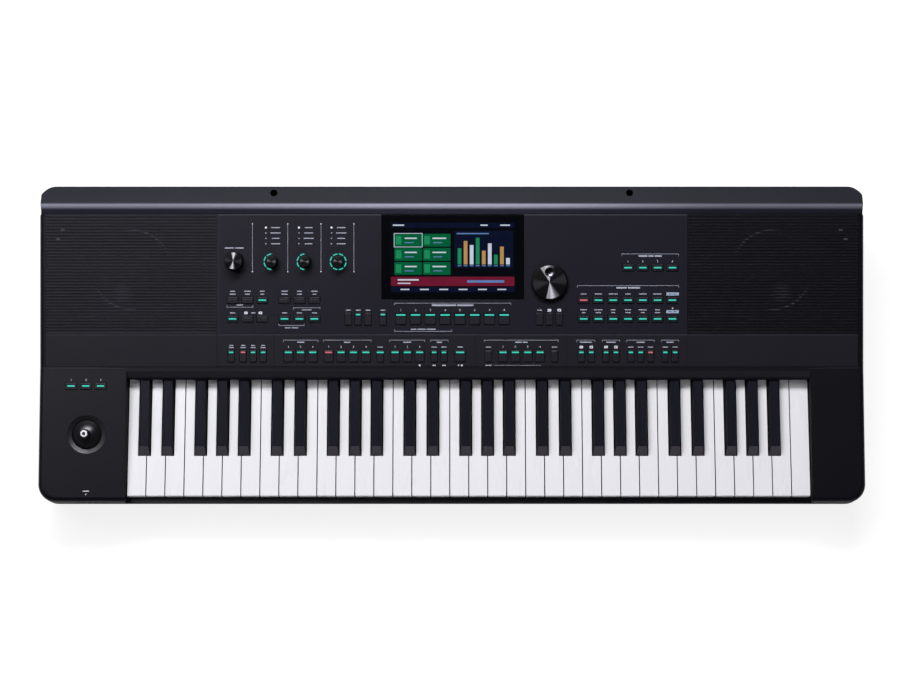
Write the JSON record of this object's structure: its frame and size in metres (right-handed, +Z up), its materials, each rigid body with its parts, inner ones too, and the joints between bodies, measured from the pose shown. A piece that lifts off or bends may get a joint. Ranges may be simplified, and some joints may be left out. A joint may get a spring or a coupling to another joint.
{
  "type": "arranger keyboard",
  "caption": "Portable arranger keyboard: black case with sloping control panel, display, knobs, lit buttons, speaker grilles, a joystick and full-size piano keys.",
  "frame": {"origin": "on the surface it stands on, under the middle of the case", "axes": "+X towards the high notes, +Y towards the rear, +Z up"},
  "size_m": [1.022, 0.388, 0.1308],
  "materials": {
    "case": "fine-grained black moulding",
    "rail": "satin black moulding",
    "panel": "matte black with pale print",
    "strip": "satin black with pale print",
    "grille": "matte black slotted moulding",
    "display_glass": "glossy black glass",
    "frame": "moulded chassis",
    "steel": "bright steel",
    "felt": "pressed felt",
    "board": "circuit board",
    "contact_rubber": "soft rubber",
    "basket": "black painted pressing",
    "cone": "coated paper cone",
    "magnet": "ferrite",
    "socket": "black socket moulding",
    "socket_plate": "satin black plate",
    "foot_rubber": "dull rubber",
    "light_guide": "lit light guide",
    "joystick": "satin black moulding",
    "knob": "black knob with turned top",
    "dial": "black dial with turned top",
    "button": "dark grey rubbery cap",
    "white_key": "glossy white",
    "black_key": "satin black"
  },
  "bodies": {
    "case": {"lower_case": "case", "upper_case": "case", "rear_rail": "rail", "control_panel": "panel", "style_strip": "strip", "left_grille": "grille", "right_grille": "grille", "display_window": "display_glass", "display_module": "socket", "key_frame": "frame", "key_pivot_rod": "steel", "key_felts": "felt", "contact_board": "board", "contact_rubbers": "contact_rubber", "circuit_boards": "board", "woofer_frames": "basket", "woofer_cones": "cone", "woofer_magnets": "magnet", "tweeters": "socket", "jack_plate": "socket_plate", "jack_sockets": "socket", "port_sockets": "steel", "feet": "foot_rubber", "case_screws": "steel", "rotary_controls": "socket", "light_rings": "light_guide", "joystick_base": "joystick"},
    "volume_knob": {"volume_knob": "knob"},
    "encoder_knob_1": {"encoder_knob_1": "knob"},
    "encoder_knob_2": {"encoder_knob_2": "knob"},
    "encoder_knob_3": {"encoder_knob_3": "knob"},
    "data_dial": {"data_dial": "dial"},
    "joystick_yoke": {"joystick_yoke": "joystick"},
    "joystick_cap": {"joystick_cap": "joystick"},
    "power_switch": {"power_switch": "button"},
    "select_buttons": {"select_buttons": "button"},
    "setting_buttons": {"setting_buttons": "button"},
    "store_buttons": {"store_buttons": "button"},
    "memory_buttons": {"memory_buttons": "button"},
    "exit_buttons": {"exit_buttons": "button"},
    "voice_buttons": {"voice_buttons": "button"},
    "style_buttons": {"style_buttons": "button"},
    "pad_buttons": {"pad_buttons": "button"},
    "effect_buttons": {"effect_buttons": "button"},
    "assign_buttons": {"assign_buttons": "button"},
    "octave_1_naturals_cegb": {"octave_1_naturals_cegb": "white_key"},
    "octave_1_naturals_dfa": {"octave_1_naturals_dfa": "white_key"},
    "octave_1_sharps": {"octave_1_sharps": "black_key"},
    "octave_2_naturals_cegb": {"octave_2_naturals_cegb": "white_key"},
    "octave_2_naturals_dfa": {"octave_2_naturals_dfa": "white_key"},
    "octave_2_sharps": {"octave_2_sharps": "black_key"},
    "octave_3_naturals_cegb": {"octave_3_naturals_cegb": "white_key"},
    "octave_3_naturals_dfa": {"octave_3_naturals_dfa": "white_key"},
    "octave_3_sharps": {"octave_3_sharps": "black_key"},
    "octave_4_naturals_cegb": {"octave_4_naturals_cegb": "white_key"},
    "octave_4_naturals_dfa": {"octave_4_naturals_dfa": "white_key"},
    "octave_4_sharps": {"octave_4_sharps": "black_key"},
    "octave_5_naturals_cegb": {"octave_5_naturals_cegb": "white_key"},
    "octave_5_naturals_dfa": {"octave_5_naturals_dfa": "white_key"},
    "octave_5_sharps": {"octave_5_sharps": "black_key"}
  },
  "joints": [
    {"name": "volume_turn", "type": "hinge", "parent": "case", "child": "volume_knob", "pos_m": [-0.2696, 0.10099, 0.11292], "axis": [0, -0.1736, 0.9848], "range_deg": [-150, 150]},
    {"name": "encoder_1_turn", "type": "hinge", "parent": "case", "child": "encoder_knob_1", "pos_m": [-0.2228, 0.1003, 0.1128], "axis": [0, -0.1736, 0.9848], "continuous": true},
    {"name": "encoder_2_turn", "type": "hinge", "parent": "case", "child": "encoder_knob_2", "pos_m": [-0.1818, 0.1003, 0.1128], "axis": [0, -0.1736, 0.9848], "continuous": true},
    {"name": "encoder_3_turn", "type": "hinge", "parent": "case", "child": "encoder_knob_3", "pos_m": [-0.1408, 0.1003, 0.1128], "axis": [0, -0.1736, 0.9848], "continuous": true},
    {"name": "data_dial_turn", "type": "hinge", "parent": "case", "child": "data_dial", "pos_m": [0.121, 0.07528, 0.10839], "axis": [0, -0.1736, 0.9848], "continuous": true},
    {"name": "joystick_pitch", "type": "hinge", "parent": "case", "child": "joystick_yoke", "pos_m": [-0.4513, -0.1104, 0.07105], "axis": [1, 0, 0], "range_deg": [-20, 20], "stiffness_Nm_per_rad": 0.15},
    {"name": "joystick_bend", "type": "hinge", "parent": "joystick_yoke", "child": "joystick_cap", "pos_m": [-0.4513, -0.1104, 0.07105], "axis": [0, 0.9964, 0.0845], "range_deg": [-20, 20], "stiffness_Nm_per_rad": 0.15},
    {"name": "power_switch_press", "type": "slide", "parent": "case", "child": "power_switch", "axis": [0, -1, 0], "range_m": [0, 0.003], "stiffness_N_per_m": 400, "springref_m": -0.002},
    {"name": "select_press", "type": "slide", "parent": "case", "child": "select_buttons", "axis": [0, 0.1736, -0.9848], "range_m": [0, 0.001], "stiffness_N_per_m": 400, "springref_m": -0.002},
    {"name": "setting_press", "type": "slide", "parent": "case", "child": "setting_buttons", "axis": [0, 0.1736, -0.9848], "range_m": [0, 0.001], "stiffness_N_per_m": 400, "springref_m": -0.002},
    {"name": "store_press", "type": "slide", "parent": "case", "child": "store_buttons", "axis": [0, 0.1736, -0.9848], "range_m": [0, 0.001], "stiffness_N_per_m": 400, "springref_m": -0.002},
    {"name": "memory_press", "type": "slide", "parent": "case", "child": "memory_buttons", "axis": [0, 0.1736, -0.9848], "range_m": [0, 0.001], "stiffness_N_per_m": 400, "springref_m": -0.002},
    {"name": "exit_press", "type": "slide", "parent": "case", "child": "exit_buttons", "axis": [0, 0.1736, -0.9848], "range_m": [0, 0.001], "stiffness_N_per_m": 400, "springref_m": -0.002},
    {"name": "voice_press", "type": "slide", "parent": "case", "child": "voice_buttons", "axis": [0, 0.1736, -0.9848], "range_m": [0, 0.001], "stiffness_N_per_m": 400, "springref_m": -0.002},
    {"name": "style_press", "type": "slide", "parent": "case", "child": "style_buttons", "axis": [0, 0.1736, -0.9848], "range_m": [0, 0.001], "stiffness_N_per_m": 400, "springref_m": -0.002},
    {"name": "pad_press", "type": "slide", "parent": "case", "child": "pad_buttons", "axis": [0, 0.1736, -0.9848], "range_m": [0, 0.001], "stiffness_N_per_m": 400, "springref_m": -0.002},
    {"name": "effect_press", "type": "slide", "parent": "case", "child": "effect_buttons", "axis": [0, 0.1736, -0.9848], "range_m": [0, 0.001], "stiffness_N_per_m": 400, "springref_m": -0.002},
    {"name": "assign_press", "type": "slide", "parent": "case", "child": "assign_buttons", "axis": [0, 0.0845, -0.9964], "range_m": [0, 0.001], "stiffness_N_per_m": 400, "springref_m": -0.002},
    {"name": "octave_1_naturals_cegb_press", "type": "hinge", "parent": "case", "child": "octave_1_naturals_cegb", "pos_m": [-0.31975, 0.02369, 0.057], "axis": [1, 0, 0], "range_deg": [0, 2.7], "stiffness_Nm_per_rad": 4, "springref_deg": -4.58},
    {"name": "octave_1_naturals_dfa_press", "type": "hinge", "parent": "case", "child": "octave_1_naturals_dfa", "pos_m": [-0.31975, 0.02369, 0.057], "axis": [1, 0, 0], "range_deg": [0, 2.7], "stiffness_Nm_per_rad": 3, "springref_deg": -4.58},
    {"name": "octave_1_sharps_press", "type": "hinge", "parent": "case", "child": "octave_1_sharps", "pos_m": [-0.31975, 0.02369, 0.057], "axis": [1, 0, 0], "range_deg": [0, 2.7], "stiffness_Nm_per_rad": 5, "springref_deg": -4.58},
    {"name": "octave_2_naturals_cegb_press", "type": "hinge", "parent": "case", "child": "octave_2_naturals_cegb", "pos_m": [-0.15525, 0.02369, 0.057], "axis": [1, 0, 0], "range_deg": [0, 2.7], "stiffness_Nm_per_rad": 4, "springref_deg": -4.58},
    {"name": "octave_2_naturals_dfa_press", "type": "hinge", "parent": "case", "child": "octave_2_naturals_dfa", "pos_m": [-0.15525, 0.02369, 0.057], "axis": [1, 0, 0], "range_deg": [0, 2.7], "stiffness_Nm_per_rad": 3, "springref_deg": -4.58},
    {"name": "octave_2_sharps_press", "type": "hinge", "parent": "case", "child": "octave_2_sharps", "pos_m": [-0.15525, 0.02369, 0.057], "axis": [1, 0, 0], "range_deg": [0, 2.7], "stiffness_Nm_per_rad": 5, "springref_deg": -4.58},
    {"name": "octave_3_naturals_cegb_press", "type": "hinge", "parent": "case", "child": "octave_3_naturals_cegb", "pos_m": [0.00925, 0.02369, 0.057], "axis": [1, 0, 0], "range_deg": [0, 2.7], "stiffness_Nm_per_rad": 4, "springref_deg": -4.58},
    {"name": "octave_3_naturals_dfa_press", "type": "hinge", "parent": "case", "child": "octave_3_naturals_dfa", "pos_m": [0.00925, 0.02369, 0.057], "axis": [1, 0, 0], "range_deg": [0, 2.7], "stiffness_Nm_per_rad": 3, "springref_deg": -4.58},
    {"name": "octave_3_sharps_press", "type": "hinge", "parent": "case", "child": "octave_3_sharps", "pos_m": [0.00925, 0.02369, 0.057], "axis": [1, 0, 0], "range_deg": [0, 2.7], "stiffness_Nm_per_rad": 5, "springref_deg": -4.58},
    {"name": "octave_4_naturals_cegb_press", "type": "hinge", "parent": "case", "child": "octave_4_naturals_cegb", "pos_m": [0.17375, 0.02369, 0.057], "axis": [1, 0, 0], "range_deg": [0, 2.7], "stiffness_Nm_per_rad": 4, "springref_deg": -4.58},
    {"name": "octave_4_naturals_dfa_press", "type": "hinge", "parent": "case", "child": "octave_4_naturals_dfa", "pos_m": [0.17375, 0.02369, 0.057], "axis": [1, 0, 0], "range_deg": [0, 2.7], "stiffness_Nm_per_rad": 3, "springref_deg": -4.58},
    {"name": "octave_4_sharps_press", "type": "hinge", "parent": "case", "child": "octave_4_sharps", "pos_m": [0.17375, 0.02369, 0.057], "axis": [1, 0, 0], "range_deg": [0, 2.7], "stiffness_Nm_per_rad": 5, "springref_deg": -4.58},
    {"name": "octave_5_naturals_cegb_press", "type": "hinge", "parent": "case", "child": "octave_5_naturals_cegb", "pos_m": [0.33825, 0.02369, 0.057], "axis": [1, 0, 0], "range_deg": [0, 2.7], "stiffness_Nm_per_rad": 5, "springref_deg": -4.58},
    {"name": "octave_5_naturals_dfa_press", "type": "hinge", "parent": "case", "child": "octave_5_naturals_dfa", "pos_m": [0.33825, 0.02369, 0.057], "axis": [1, 0, 0], "range_deg": [0, 2.7], "stiffness_Nm_per_rad": 3, "springref_deg": -4.58},
    {"name": "octave_5_sharps_press", "type": "hinge", "parent": "case", "child": "octave_5_sharps", "pos_m": [0.33825, 0.02369, 0.057], "axis": [1, 0, 0], "range_deg": [0, 2.7], "stiffness_Nm_per_rad": 5, "springref_deg": -4.58}
  ]
}
